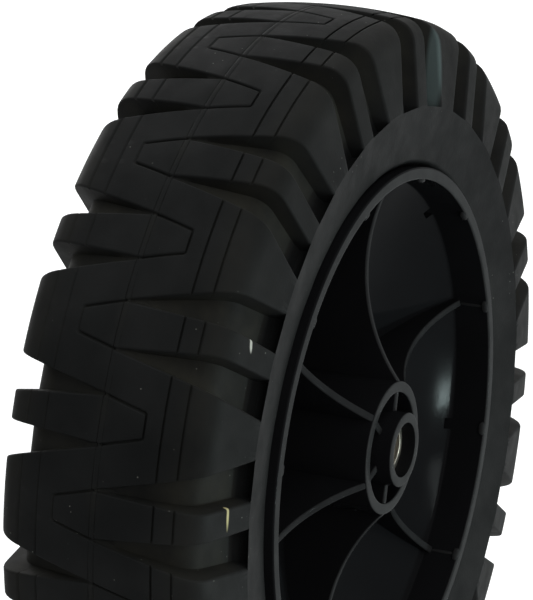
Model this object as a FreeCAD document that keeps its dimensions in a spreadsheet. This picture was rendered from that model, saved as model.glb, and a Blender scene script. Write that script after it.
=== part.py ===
import FreeCAD, Part
import os
from types import SimpleNamespace

import Sketcher

# Lawn mower wheel: a moulded rubber tyre on a one-piece plastic hub, with a steel sleeve for the axle.
# Millimetres. The wheel turns about Y and its centre is the origin. The deeply dished face looks
# along -Y. Angles round the wheel run from +X towards +Z.

# Driving dimensions: name, value, meaning
DIMENSIONS = [
    ("outer_radius", 100.0, "tread crown"),
    ("tread_half_width", 23.0, "tread corner, before rounding, from the middle plane"),
    ("crown_drop", 2.1, "fall of the crown from the middle to the tread corner"),
    ("shoulder_reach", 4.6, "length that the shoulder rounding takes from each side of the corner"),
    ("side_half_width", 25.6, "outer edge of the flat side ring, from the middle plane"),
    ("side_ring_radius", 79.5, "outer edge of the flat side ring, where the grooves end"),
    ("bead_step", 1.5, "step from the rim up to the inner edge of the flat side ring"),
    ("bead_half_width", 23.2, "inner edge of the flat side ring, from the middle plane"),
    ("bead_chamfer", 1.4, "slope from the side ring into the seat on the rim"),
    ("lug_pairs", 16, "narrow lugs on each side of the tread"),
    ("lug_tip_half", 5.15, "half distance between the two groove tips of a narrow lug"),
    ("lug_end_half", 3.1, "half width of a narrow lug at the side ring"),
    ("block_end_half", 11.2, "half distance between the wide blocks at the side ring"),
    ("groove_tip_depth", 0.4, "groove depth at its tip on the centre line"),
    ("groove_shoulder_depth", 5.6, "groove depth below the tread corner"),
    ("groove_side_depth", 5.1, "groove depth in the sidewall"),
    ("tread_clock", 13.2, "angle by which the tread is turned on the rim"),
    ("rim_radius", 65.2, "outside of the rim barrel and its lips"),
    ("rim_wall", 2.9, "rim barrel wall"),
    ("rim_half_width", 24.8, "lip faces, from the middle plane"),
    ("seat_gap", 0.1, "gap between the rim and the tyre that is stretched on it"),
    ("key_half_width", 4.0, "ridge round the barrel that keeps the tyre in place"),
    ("key_height", 2.5, "height of that ridge"),
    ("web_rim_level", 15.6, "front of the web at the rim, from the middle plane"),
    ("web_mid_radius", 44.0, "radius at which the bowl of the web is measured"),
    ("web_mid_level", 5.5, "front of the web there, from the middle plane"),
    ("web_wall", 3.0, "web thickness"),
    ("boss_radius", 15.6, "outside of the boss ring"),
    ("boss_wall", 2.6, "boss ring wall"),
    ("boss_half_width", 24.7, "boss ring faces, from the middle plane"),
    ("tube_radius", 8.7, "outside of the axle tube"),
    ("tube_half_width", 27.7, "axle tube ends, from the middle plane"),
    ("rib_count", 6, "ribs between boss and rim"),
    ("rib_wall", 1.8, "rib thickness"),
    ("rib_mid_radius", 42.0, "lowest place of a rib's hollow edge"),
    ("rib_mid_level", 13.4, "rib edge there, from the middle plane"),
    ("rib_rim_level", 17.5, "rib edge at the rim, from the middle plane"),
    ("rib_boss_step", 0.3, "rib edge below the face of the boss ring"),
    ("rib_clock", 15.0, "angle of the first rib"),
    ("nub_height", 0.9, "cap nubs inside the lip"),
    ("nub_length", 2.2, "cap nubs, along the axle"),
    ("nub_inset", 0.4, "cap nubs, below the lip face"),
    ("nub_angle", 2.4, "cap nubs, round the rim"),
    ("window_height", 2.4, "windows in the web below the cap nubs, across the rim"),
    ("window_angle", 2.8, "windows in the web, round the rim"),
    ("bore_radius", 4.76, "bore for a three eighths inch axle"),
    ("sleeve_wall", 1.55, "steel sleeve wall"),
    ("sleeve_gap", 0.05, "gap between the sleeve and the tube that it is pushed into"),
    ("sleeve_recess", 3.2, "depth of the sleeve's ends inside the axle tube"),
    ("sleeve_chamfer", 0.25, "broken outer edge of the sleeve"),
    ("root_depth", 0.5, "depth by which ribs and nubs grow into the wall that carries them"),
    ("tool_margin", 2.0, "length by which a cutting shape reaches past the rubber"),
]

doc = FreeCAD.newDocument("mower_wheel")
sheet = doc.addObject("Spreadsheet::Sheet", "sizes")
for row, (alias, value, meaning) in enumerate(DIMENSIONS, 1):
    sheet.set(f"A{row}", meaning)
    sheet.set(f"B{row}", str(value))
    sheet.setAlias(f"B{row}", alias)
doc.recompute()


class Size:
    """A length worked out from the sheet: the formula that binds it, and its number for drawing."""

    def __init__(self, formula, number):
        self.formula = formula
        self.number = number

    def joined(self, sign, other, number):
        return Size(f"({self.formula} {sign} {as_size(other).formula})", number)

    def __add__(self, other):
        return self.joined("+", other, self.number + as_size(other).number)

    def __sub__(self, other):
        return self.joined("-", other, self.number - as_size(other).number)

    def __mul__(self, other):
        return self.joined("*", other, self.number * as_size(other).number)

    def __truediv__(self, other):
        return self.joined("/", other, self.number / as_size(other).number)

    def __neg__(self):
        return Size(f"(-{self.formula})", -self.number)


def as_size(value):
    return value if isinstance(value, Size) else Size(str(value), value)


def between(first, second, share):
    """The point that lies at this share of the way from the first point to the second."""
    return tuple(a + (b - a) * share for a, b in zip(first, second))


d = SimpleNamespace(**{alias: Size(f"sizes.{alias}", value) for alias, value, meaning in DIMENSIONS})


def new_body(label):
    body = doc.addObject("PartDesign::Body", label)
    body.Label = label
    return body


def new_sketch(body, name):
    """A sketch on the body's XY plane: x is a radius or runs round the wheel, y runs along the axle."""
    plane = next(item for item in body.Origin.OriginFeatures if item.Role == "XY_Plane")
    sketch = body.newObject("Sketcher::SketchObject", name)
    sketch.AttachmentSupport = [(plane, "")]
    sketch.MapMode = "FlatFace"
    return sketch


def hold_point(sketch, edge, end, point):
    """Bind one point of the sketch to two sizes, measured from the origin."""
    for kind, size in zip(("DistanceX", "DistanceY"), point):
        if isinstance(size, Size):
            index = sketch.addConstraint(Sketcher.Constraint(kind, -1, 1, edge, end, size.number))
            sketch.setExpression(f"Constraints[{index}]", size.formula)
        else:
            axis = -2 if kind == "DistanceX" else -1
            sketch.addConstraint(Sketcher.Constraint("PointOnObject", edge, end, axis))


def draw_outline(sketch, corners):
    """A closed outline. A corner is (x, y), or (x, y, via_x, via_y) where an arc leads on from it."""
    def vector(x, y):
        return FreeCAD.Vector(as_size(x).number, as_size(y).number, 0)

    ends = []
    for corner, following in zip(corners, corners[1:] + corners[:1]):
        start = vector(*corner[:2])
        finish = vector(*following[:2])
        if len(corner) == 2:
            edge = sketch.addGeometry(Part.LineSegment(start, finish), False)
            ends.append((edge, 1, 2))
            continue
        edge = sketch.addGeometry(Part.Arc(start, vector(*corner[2:]), finish), False)
        forward = sketch.getPoint(edge, 1).isEqual(start, 1e-6)
        ends.append((edge, 1, 2) if forward else (edge, 2, 1))
    for (edge, first, last), (after, after_first, _) in zip(ends, ends[1:] + ends[:1]):
        sketch.addConstraint(Sketcher.Constraint("Coincident", edge, last, after, after_first))
    for (edge, first, last), corner in zip(ends, corners):
        hold_point(sketch, edge, first, corner[:2])
        if len(corner) == 4:
            via = sketch.addGeometry(Part.Point(vector(*corner[2:])), True)
            sketch.addConstraint(Sketcher.Constraint("PointOnObject", via, 1, edge))
            hold_point(sketch, via, 1, corner[2:])


def revolve(body, name, corners, angle=360, kind="PartDesign::Revolution"):
    """Turn an outline about the axle, half of the angle to each side of the sketch."""
    sketch = new_sketch(body, name + "_section")
    draw_outline(sketch, corners)
    feature = body.newObject(kind, name)
    feature.Profile = sketch
    feature.ReferenceAxis = (sketch, ["V_Axis"])
    feature.Midplane = True
    if isinstance(angle, Size):
        feature.setExpression("Angle", angle.formula)
    else:
        feature.Angle = angle
    doc.recompute()
    return feature


def repeat_round(body, name, originals, sketch, count):
    """Copies of features at equal steps round the axle."""
    pattern = body.newObject("PartDesign::PolarPattern", name)
    pattern.Originals = originals
    pattern.Axis = (sketch, ["V_Axis"])
    pattern.Angle = 360
    pattern.setExpression("Occurrences", count.formula)
    body.Tip = pattern
    doc.recompute()
    return pattern


def shift_half_step(sketch, count):
    """Turn a sketch about the axle by half of the step between copies."""
    turn = FreeCAD.Rotation(FreeCAD.Vector(0, 1, 0), 1)
    sketch.AttachmentOffset = FreeCAD.Placement(FreeCAD.Vector(), turn)
    sketch.setExpression("AttachmentOffset.Rotation.Angle", "180 / " + count.formula)
    doc.recompute()


def turn_round(body, angle):
    """Turn a finished body about the axle, from +X towards +Z."""
    turn = FreeCAD.Rotation(FreeCAD.Vector(0, -1, 0), angle.number)
    body.Placement = FreeCAD.Placement(FreeCAD.Vector(), turn)
    body.setExpression("Placement.Rotation.Angle", angle.formula)


def mirrored(front):
    """The same point on the other side of the middle plane."""
    return (front[0], -front[1])


# Tyre: lugs first, then the carcass that fills the grooves up to their floor. The shoulder is rounded
# in two flat steps, because the grooves cut it into many pieces
tyre = new_body("tyre")

tread_corner = (d.outer_radius - d.crown_drop, d.tread_half_width)
side_edge = (d.side_ring_radius, d.side_half_width)
crown_end_y = d.tread_half_width - d.shoulder_reach
crown_share = crown_end_y / d.tread_half_width
crown_end = (d.outer_radius - d.crown_drop * crown_share * crown_share, crown_end_y)
side_share = d.shoulder_reach / (tread_corner[0] - d.side_ring_radius)
side_start = between(tread_corner, side_edge, side_share)
shoulder = between(between(crown_end, side_start, 0.5), tread_corner, 0.5)
floor_top = (d.outer_radius - d.groove_tip_depth, 0)
floor_corner = (tread_corner[0] - d.groove_shoulder_depth, d.tread_half_width - d.groove_side_depth)
floor_foot = (d.side_ring_radius, d.side_half_width - d.groove_side_depth)
bead_edge = (d.rim_radius + d.bead_step, d.bead_half_width)
# The lugs grow out of the carcass from a line below the groove floor
lug_root = ((side_edge[0] + bead_edge[0]) * 0.5, floor_foot[1])
lug_bed = (floor_corner[0] - d.groove_side_depth, 0)

revolve(tyre, "lugs", [
    mirrored(lug_root),
    mirrored(side_edge),
    mirrored(side_start),
    mirrored(shoulder),
    mirrored(crown_end),
    (d.outer_radius, 0),
    crown_end,
    shoulder,
    side_start,
    side_edge,
    lug_root,
    lug_bed,
])


def cut_grooves(name, side):
    """The two wedge grooves beside a narrow lug at the top of the wheel, on one side of the tread."""
    sketch = new_sketch(tyre, name + "_plan")
    overrun = (d.side_half_width + d.tool_margin) / d.side_half_width
    edge_y = (d.side_half_width + d.tool_margin) * side
    for hand in (1, -1):
        tip = d.lug_tip_half * hand
        lug_x = tip + (d.lug_end_half - d.lug_tip_half) * overrun * hand
        block_x = tip + (d.block_end_half - d.lug_tip_half) * overrun * hand
        draw_outline(sketch, [(tip, 0), (lug_x, edge_y), (block_x, edge_y)])
    pocket = tyre.newObject("PartDesign::Pocket", name)
    pocket.Profile = sketch
    pocket.Reversed = True
    pocket.setExpression("Length", (d.outer_radius + d.tool_margin).formula)
    return pocket, sketch


front_grooves, front_plan = cut_grooves("front_grooves", -1)
back_grooves, back_plan = cut_grooves("back_grooves", 1)
# The back lugs lie half a step further round than the front ones
shift_half_step(back_plan, d.lug_pairs)
repeat_round(tyre, "groove_pattern", [front_grooves, back_grooves], front_plan, d.lug_pairs)

seat_radius = d.rim_radius + d.seat_gap
seat_edge = (seat_radius, d.bead_half_width - d.bead_chamfer)
key_half = d.key_half_width + d.seat_gap
key_seat = (seat_radius, key_half)
key_floor = (seat_radius + d.key_height, key_half)

carcass = revolve(tyre, "carcass", [
    mirrored(bead_edge),
    mirrored(side_edge),
    mirrored(floor_foot),
    mirrored(floor_corner),
    floor_top,
    floor_corner,
    floor_foot,
    side_edge,
    bead_edge,
    seat_edge,
    key_seat,
    key_floor,
    mirrored(key_floor),
    mirrored(key_seat),
    mirrored(seat_edge),
])
tyre.Tip = carcass
turn_round(tyre, d.tread_clock)

# Hub: one moulding with rim, bowl-shaped web, boss ring and axle tube, then ribs, cap nubs and windows.
# The web stays thin and follows a parabola through its levels at the boss, half way and at the rim
hub = new_body("wheel_hub")

rim_inside = d.rim_radius - d.rim_wall
boss_inside = d.boss_radius - d.boss_wall
tube_inside = d.bore_radius + d.sleeve_wall + d.sleeve_gap
lip = (d.rim_radius, d.rim_half_width)
lip_inside = (rim_inside, d.rim_half_width)
ridge_foot = (d.rim_radius, d.key_half_width)
ridge_top = (d.rim_radius + d.key_height, d.key_half_width)
boss_face = (d.boss_radius, d.boss_half_width)
boss_inner_face = (boss_inside, d.boss_half_width)
tube_end = (d.tube_radius, d.tube_half_width)
tube_mouth = (tube_inside, d.tube_half_width)


def web_front(radius):
    """The point of the web's front at a radius."""
    rise = radius - d.boss_radius
    mid_part = d.web_mid_level * (rim_inside - radius) / (d.web_mid_radius - d.boss_radius)
    rim_part = d.web_rim_level * (radius - d.web_mid_radius) / (rim_inside - d.boss_radius)
    return (radius, -((mid_part + rim_part) * rise / (rim_inside - d.web_mid_radius)))


def web_back(radius):
    front = web_front(radius)
    return (front[0], front[1] + d.web_wall)


inner_mid_radius = (d.boss_radius + d.web_mid_radius) * 0.5
outer_mid_radius = (d.web_mid_radius + rim_inside) * 0.5
web_radii = [inner_mid_radius, d.web_mid_radius, outer_mid_radius, rim_inside]

revolve(hub, "moulding", [
    mirrored(lip_inside),
    mirrored(lip),
    mirrored(ridge_foot),
    mirrored(ridge_top),
    ridge_top,
    ridge_foot,
    lip,
    lip_inside,
    *[web_back(radius) for radius in reversed(web_radii)],
    (d.boss_radius, d.web_wall),
    boss_face,
    boss_inner_face,
    (boss_inside, d.web_wall),
    (d.tube_radius, d.web_wall),
    tube_end,
    tube_mouth,
    mirrored(tube_mouth),
    mirrored(tube_end),
    (d.tube_radius, 0),
    (boss_inside, 0),
    mirrored(boss_inner_face),
    mirrored(boss_face),
    (d.boss_radius, 0),
    *[web_front(radius) for radius in web_radii],
])

rib_sketch = new_sketch(hub, "rib_outline")
rib_tube = (d.tube_radius - d.root_depth, d.boss_half_width - d.rib_boss_step)
rib_boss = (d.boss_radius, d.boss_half_width - d.rib_boss_step)
rib_rim = (rim_inside + d.root_depth, d.rib_rim_level)
rib_low = (d.rib_mid_radius, d.rib_mid_level)
draw_outline(rib_sketch, [
    mirrored(rib_tube),
    mirrored(rib_boss) + mirrored(rib_low),
    mirrored(rib_rim),
    rib_rim + rib_low,
    rib_boss,
    rib_tube,
])
rib = hub.newObject("PartDesign::Pad", "rib")
rib.Profile = rib_sketch
rib.Midplane = True
rib.setExpression("Length", d.rib_wall.formula)
doc.recompute()
repeat_round(hub, "ribs", [rib], rib_sketch, d.rib_count)

# A cap nub stands at each rib and half way between ribs, so there are twice as many nubs as ribs
nub_top = d.rim_half_width - d.nub_inset
nub = revolve(hub, "nub", [
    (rim_inside - d.nub_height, -nub_top),
    (rim_inside + d.root_depth, -nub_top),
    (rim_inside + d.root_depth, d.nub_length - nub_top),
    (rim_inside - d.nub_height, d.nub_length - nub_top),
], d.nub_angle)
repeat_round(hub, "nubs", [nub], nub.Profile[0], d.rib_count * 2)

window_low = d.web_rim_level + d.tool_margin
window = revolve(hub, "window", [
    (rim_inside - d.window_height, -window_low),
    (rim_inside, -window_low),
    (rim_inside, d.tool_margin),
    (rim_inside - d.window_height, d.tool_margin),
], d.window_angle, "PartDesign::Groove")
window_sketch = window.Profile[0]
shift_half_step(window_sketch, d.rib_count)
repeat_round(hub, "windows", [window], window_sketch, d.rib_count)
turn_round(hub, d.rib_clock)

# Axle sleeve: a steel tube pushed into the plastic one, a little shorter than it
sleeve = new_body("axle_sleeve")
sleeve_outside = d.bore_radius + d.sleeve_wall
sleeve_end = d.tube_half_width - d.sleeve_recess
sleeve_rim = (sleeve_outside - d.sleeve_chamfer, sleeve_end)
sleeve_edge = (sleeve_outside, sleeve_end - d.sleeve_chamfer)
sleeve_bore = (d.bore_radius, sleeve_end)
revolve(sleeve, "sleeve", [
    mirrored(sleeve_bore),
    mirrored(sleeve_rim),
    mirrored(sleeve_edge),
    sleeve_edge,
    sleeve_rim,
    sleeve_bore,
])

doc.recompute()
failed = [item.Name for item in doc.Objects if {"Invalid", "Error"} & set(item.State)]
if failed:
    raise RuntimeError(f"not built: {failed}")
os.makedirs("parts", exist_ok=True)
for body in (tyre, hub, sleeve):
    if body.Shape.isNull() or not body.Shape.isValid() or len(body.Shape.Solids) != 1:
        raise RuntimeError(f"{body.Label} is not one sound solid")
for body in (tyre, hub, sleeve):
    body.Shape.exportStep(f"parts/{body.Label}.step")
    print(body.Label, round(body.Shape.Volume), "mm3", len(body.Shape.Faces), "faces")
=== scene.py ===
# %% [markdown]
# # A lawn mower wheel
# The wheel has three pieces: a rubber tyre with deep lugs, a dished plastic hub with ribs, and a steel
# sleeve for the axle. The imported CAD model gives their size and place. This lesson builds a finer surface
# for each of them with numpy, gives it a procedural finish, and sets up the light and the camera. The frame
# comes first, because every piece takes its size from it.

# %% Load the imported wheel
import math

import bpy
import numpy as np
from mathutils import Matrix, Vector


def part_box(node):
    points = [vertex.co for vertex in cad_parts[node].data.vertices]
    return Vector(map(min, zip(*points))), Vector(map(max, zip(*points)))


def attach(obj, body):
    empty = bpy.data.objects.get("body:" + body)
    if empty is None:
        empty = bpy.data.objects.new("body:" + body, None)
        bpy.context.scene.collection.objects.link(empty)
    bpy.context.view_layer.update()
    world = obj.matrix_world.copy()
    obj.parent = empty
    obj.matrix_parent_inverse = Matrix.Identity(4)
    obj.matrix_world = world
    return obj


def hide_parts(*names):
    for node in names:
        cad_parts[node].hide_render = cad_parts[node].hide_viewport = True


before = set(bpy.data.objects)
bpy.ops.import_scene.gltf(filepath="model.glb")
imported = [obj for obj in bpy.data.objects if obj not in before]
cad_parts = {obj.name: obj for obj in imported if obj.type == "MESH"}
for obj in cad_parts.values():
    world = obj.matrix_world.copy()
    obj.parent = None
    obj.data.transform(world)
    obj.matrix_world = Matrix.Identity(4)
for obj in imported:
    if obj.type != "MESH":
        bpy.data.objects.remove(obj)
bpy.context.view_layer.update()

MM = 0.001
TINY = 1e-9
tyre_low, tyre_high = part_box("tyre")
hub_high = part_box("wheel_hub")[1]
sleeve_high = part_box("axle_sleeve")[1]
print("tyre box, mm:", [round(v / MM, 2) for v in (*tyre_low, *tyre_high)])

# %% [markdown]
# Each piece below is a grid of points: rows run along a section, columns run round the axle. A small set of
# helpers turns such a grid into a mesh. The order of the corners decides which way a face looks, so the
# helper measures the signed volume of the closed surface and turns all faces round if it comes out
# negative.

# %% Helpers for grids


def grid_faces(rows, columns, wrap_rows=False, wrap_columns=False):
    """Four corner numbers for each cell of a grid whose points are numbered row by row."""
    i = np.arange(rows if wrap_rows else rows - 1)
    j = np.arange(columns if wrap_columns else columns - 1)
    i, j = np.meshgrid(i, j, indexing="ij")
    down, over = (i + 1) % rows, (j + 1) % columns
    cells = np.stack([i * columns + j, i * columns + over, down * columns + over, down * columns + j], -1)
    return cells.reshape(-1, 4)


def signed_volume(points, quads):
    """Sum of the signed volumes of the tetrahedra from the origin to each half of each face."""
    a, b, c, d = (points[quads[:, k]] for k in range(4))
    halves = np.einsum("ij,ij->i", a, np.cross(b, c)) + np.einsum("ij,ij->i", a, np.cross(c, d))
    return halves.sum() / 6


def round_axle(radius, level, angle):
    """Points at a radius and angle round the axle (Y), from +X towards +Z, at a level along it.

    x = radius cos(angle), y = level, z = radius sin(angle)."""
    radius, level, angle = np.broadcast_arrays(radius, level, angle)
    return np.stack([radius * np.cos(angle), level, radius * np.sin(angle)], -1)


# %% [markdown]
# A piece is a mesh with a material, a part of the wheel that it rides on, and a material slot. Its edges
# could be bevelled in Blender, but here the rounds are already rows of the grid. The shading only has to
# keep the broad faces flat: weighted normals do that, so just the narrow faces along a rounded edge bend
# the light.

# %% Helpers that turn grids into pieces
CREASE = math.radians(70)


def new_mesh(name, points, quads):
    """A mesh from points in millimetres and faces of four corners, all looking outwards."""
    if signed_volume(points, quads) < 0:
        quads = quads[:, ::-1]
    mesh = bpy.data.meshes.new(name)
    mesh.vertices.add(len(points))
    mesh.vertices.foreach_set("co", (points * MM).ravel())
    mesh.loops.add(quads.size)
    mesh.loops.foreach_set("vertex_index", quads.ravel().astype(np.int32))
    mesh.polygons.add(len(quads))
    mesh.polygons.foreach_set("loop_start", np.arange(0, quads.size, 4, dtype=np.int32))
    mesh.polygons.foreach_set("use_smooth", np.ones(len(quads), bool))
    mesh.update(calc_edges=True)
    mesh.validate()
    mesh.set_sharp_from_angle(angle=CREASE)
    return mesh


def add_piece(name, points, quads, material, node=None, marks=None):
    """A piece of the wheel, which replaces a node of the CAD model if one is named.

    Marks say how much dust, wear and painted highlight each point has; the finish reads them."""
    points = np.asarray(points, float).reshape(-1, 3)
    mesh = new_mesh(name, points, quads)
    mesh.materials.append(material)
    if marks is not None:
        stored = mesh.attributes.new("marks", "FLOAT", "POINT")
        stored.data.foreach_set("value", np.ravel(marks).astype(np.float32))
    piece = bpy.data.objects.new(name, mesh)
    bpy.context.collection.objects.link(piece)
    even = piece.modifiers.new("broad_faces_flat", "WEIGHTED_NORMAL")
    even.keep_sharp = True
    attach(piece, "root")
    if node:
        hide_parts(node)
    print(name, len(points), "points", 2 * len(quads), "triangles")


# %% [markdown]
# ## Finishes
# All three finishes are dark or metallic, so their look is mostly in roughness and small relief. Each one
# mixes a few textures on Object coordinates: broad noise for stains, fine noise for grain, and cells for
# specks.

# %% Helpers that join and mix textures


def new_finish(name):
    """A material with its nodes, its links and its shader."""
    material = bpy.data.materials.new(name)
    material.use_nodes = True
    nodes = material.node_tree.nodes
    return material, nodes, material.node_tree.links, nodes["Principled BSDF"]


def add_ramp(nodes, links, source, stops):
    """A colour ramp: (position, grey or colour) for each stop."""
    ramp = nodes.new("ShaderNodeValToRGB")
    elements = ramp.color_ramp.elements
    while len(elements) < len(stops):
        elements.new(0.5)
    for element, (position, colour) in zip(elements, stops):
        element.position = position
        element.color = (*colour, 1) if isinstance(colour, tuple) else (colour, colour, colour, 1)
    links.new(source, ramp.inputs["Fac"])
    return ramp.outputs["Color"]


def add_product(nodes, links, first, second):
    """The product of two masks."""
    product = nodes.new("ShaderNodeMath")
    product.operation = "MULTIPLY"
    links.new(first, product.inputs[0])
    links.new(second, product.inputs[1])
    return product.outputs["Value"]


def add_over(nodes, links, mask, below, colour):
    """A colour laid over another one where the mask is high."""
    mix = nodes.new("ShaderNodeMix")
    mix.data_type = "RGBA"
    mix.inputs["B"].default_value = (*colour, 1)
    links.new(mask, mix.inputs["Factor"])
    links.new(below, mix.inputs["A"])
    return mix.outputs["Result"]


def add_bump(nodes, links, shader, height, strength, distance):
    """Fine relief in the shading, from a texture's height."""
    bump = nodes.new("ShaderNodeBump")
    bump.inputs["Strength"].default_value = strength
    bump.inputs["Distance"].default_value = distance
    links.new(height, bump.inputs["Height"])
    links.new(bump.outputs["Normal"], shader.inputs["Normal"])


# %% [markdown]
# The textures themselves come next. They lie in the piece's own space, so they stay where they are when the
# wheel is moved. Dust, wear and the painted highlights on the hub's edges follow the shape, which a texture
# doesn't know, so they are stored at the mesh's points.

# %% Helpers for textures
DOT_CORE, CHOICE_STEP, BLOB_CORE = 0.7, 0.01, 0.4


def add_noise(nodes, links, scale, detail=4.0, roughness=0.55, stretch=(1, 1, 1)):
    """Noise on Object coordinates, at so many cells to the metre, stretched along an axis if asked."""
    place = nodes.new("ShaderNodeTexCoord")
    mapping = nodes.new("ShaderNodeMapping")
    mapping.inputs["Scale"].default_value = stretch
    noise = nodes.new("ShaderNodeTexNoise")
    noise.inputs["Scale"].default_value = scale
    noise.inputs["Detail"].default_value = detail
    noise.inputs["Roughness"].default_value = roughness
    links.new(place.outputs["Object"], mapping.inputs["Vector"])
    links.new(mapping.outputs["Vector"], noise.inputs["Vector"])
    return noise.outputs["Fac"]


def add_marks(nodes):
    """The dust, wear and painted highlight stored at each point of the mesh."""
    stored = nodes.new("ShaderNodeAttribute")
    stored.attribute_name = "marks"
    return stored.outputs["Fac"]


def add_specks(nodes, links, scale, size, share):
    """A mask of small dots: the middles of a share of the cells that many to the metre."""
    place = nodes.new("ShaderNodeTexCoord")
    cells = nodes.new("ShaderNodeTexVoronoi")
    cells.inputs["Scale"].default_value = scale
    links.new(place.outputs["Object"], cells.inputs["Vector"])
    dots = add_ramp(nodes, links, cells.outputs["Distance"], [(size * DOT_CORE, 1.0), (size, 0.0)])
    first = 1 - share
    chosen = add_ramp(nodes, links, cells.outputs["Color"], [(first, 0.0), (first + CHOICE_STEP, 1.0)])
    return add_product(nodes, links, dots, chosen)


def add_blob(nodes, links, centre, turn, half_size):
    """A mask that is one in the middle of an ellipsoid on the piece and fades to nought at its skin."""
    place = nodes.new("ShaderNodeTexCoord")
    mapping = nodes.new("ShaderNodeMapping")
    mapping.vector_type = "TEXTURE"
    mapping.inputs["Location"].default_value = [v * MM for v in centre]
    mapping.inputs["Rotation"].default_value = [math.radians(v) for v in turn]
    mapping.inputs["Scale"].default_value = [v * MM for v in half_size]
    ball = nodes.new("ShaderNodeTexGradient")
    ball.gradient_type = "SPHERICAL"
    links.new(place.outputs["Object"], mapping.inputs["Vector"])
    links.new(mapping.outputs["Vector"], ball.inputs["Vector"])
    return add_ramp(nodes, links, ball.outputs["Fac"], [(0.0, 0.0), (BLOB_CORE, 1.0)])


# %% [markdown]
# Tyre rubber is nearly black and dull. Brownish dust lies in the grooves and thinly on the shoulders, in
# patches. A few pale crumbs stick to the tread, with two slivers of dry grass, and a bluish painted highlight
# lies on one groove's wall. Each of these three could be painted on an image; an ellipsoid, given by its
# middle, turn, half sizes and colour, needs none. The moulded skin has a fine grain.

# %% Rubber
RUBBER_DARK, RUBBER_PALE = (0.0041, 0.0044, 0.0044), (0.0086, 0.0089, 0.0088)
DUST_COLOUR, CRUMB_COLOUR = (0.0178, 0.0172, 0.0138), (0.13, 0.13, 0.115)
CRUMB_CELLS, CRUMB_SIZE, CRUMB_SHARE = 560, 0.1, 0.35
RUBBER_SHEEN, RUBBER_GRAIN, RUBBER_GRAIN_HEIGHT = 0.04, 0.12, 0.0003
# The first blob is a painted highlight on a groove's wall; the other two are slivers of dry grass
GRASS_AND_HIGHLIGHT_BLOBS = [((24.7, -23.4, 84.4), (0, 8, 0), (3.0, 2.3, 15.0), (0.04, 0.052, 0.051)),
          ((-74.7, -24.2, 48.6), (0, 10, 0), (0.55, 0.7, 2.0), (0.36, 0.36, 0.32)),
          ((-86.2, -24.0, 15.6), (0, 7, 0), (0.6, 0.9, 4.2), (0.4, 0.36, 0.19))]


def make_rubber():
    """Dark rubber, with dust where marks and patchy noise meet, crumbs, grass and a painted highlight."""
    material, nodes, links, shader = new_finish("tyre_rubber")
    clean = add_ramp(nodes, links, add_noise(nodes, links, 45, detail=6),
                     [(0.35, RUBBER_DARK), (0.7, RUBBER_PALE)])
    patches = add_ramp(nodes, links, add_noise(nodes, links, 85, detail=7, roughness=0.65),
                       [(0.35, 0.2), (0.66, 1.0)])
    dusty = add_over(nodes, links, add_product(nodes, links, add_marks(nodes), patches), clean, DUST_COLOUR)
    clusters = add_ramp(nodes, links, add_noise(nodes, links, 24, detail=2), [(0.5, 0.0), (0.62, 1.0)])
    specks = add_specks(nodes, links, CRUMB_CELLS, CRUMB_SIZE, CRUMB_SHARE)
    colour = add_over(nodes, links, add_product(nodes, links, specks, clusters), dusty, CRUMB_COLOUR)
    # Laid over the colour in turn: the painted highlight first, then the two grass slivers
    for centre, turn, half_size, shade in GRASS_AND_HIGHLIGHT_BLOBS:
        blob_mask = add_blob(nodes, links, centre, turn, half_size)
        colour = add_over(nodes, links, blob_mask, colour, shade)
    links.new(colour, shader.inputs["Base Color"])
    links.new(add_ramp(nodes, links, add_noise(nodes, links, 160), [(0.3, 0.55), (0.7, 0.7)]),
              shader.inputs["Roughness"])
    shader.inputs["Specular IOR Level"].default_value = RUBBER_SHEEN
    grain = add_noise(nodes, links, 1400, detail=3)
    add_bump(nodes, links, shader, grain, RUBBER_GRAIN, RUBBER_GRAIN_HEIGHT)
    return material


rubber = make_rubber()
print("finish", rubber.name, "with", len(GRASS_AND_HIGHLIGHT_BLOBS), "smears")

# %% [markdown]
# The hub is black plastic from a polished mould: smooth, with a clear gloss in the bowl. Its edges and small
# raised parts are painted greyer, partly as wear from hands and tools and partly as a painted highlight. A
# plain dark shader would look like paint, so a broad noise varies the gloss a little.

# %% Plastic
PLASTIC_DARK, PLASTIC_PALE = (0.0046, 0.0046, 0.005), (0.006, 0.0061, 0.0066)
# Grey of the hub's edges and raised parts: partly wear, partly a painted highlight
WEAR_AND_HIGHLIGHT_COLOUR = (0.026, 0.026, 0.026)
PLASTIC_SHEEN, PLASTIC_GRAIN, PLASTIC_GRAIN_HEIGHT = 0.0065, 0.04, 0.0002


def make_plastic():
    """Dark plastic, with a grey of wear and painted highlight where the marks and a fine noise meet."""
    material, nodes, links, shader = new_finish("hub_plastic")
    clean = add_ramp(nodes, links, add_noise(nodes, links, 30),
                     [(0.35, PLASTIC_DARK), (0.7, PLASTIC_PALE)])
    mark_breakup = add_ramp(nodes, links, add_noise(nodes, links, 140, detail=6), [(0.3, 0.6), (0.7, 1.0)])
    wear_and_highlight = add_product(nodes, links, add_marks(nodes), mark_breakup)
    links.new(add_over(nodes, links, wear_and_highlight, clean, WEAR_AND_HIGHLIGHT_COLOUR), shader.inputs["Base Color"])
    links.new(add_ramp(nodes, links, add_noise(nodes, links, 90, detail=5), [(0.35, 0.1), (0.7, 0.145)]),
              shader.inputs["Roughness"])
    shader.inputs["Specular IOR Level"].default_value = PLASTIC_SHEEN
    grain = add_noise(nodes, links, 900, detail=2)
    add_bump(nodes, links, shader, grain, PLASTIC_GRAIN, PLASTIC_GRAIN_HEIGHT)
    return material


plastic = make_plastic()
print("finish", plastic.name)

# %% [markdown]
# The sleeve is bare steel, drawn and cut. Its scratches could be cut into the mesh; noise that is drawn out
# along the circle gives the same glint in the roughness alone.

# %% Steel
STEEL_DARK, STEEL_PALE = (0.48, 0.45, 0.38), (0.66, 0.63, 0.56)
SCRATCH_STRETCH = (1, 12, 1)


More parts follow.
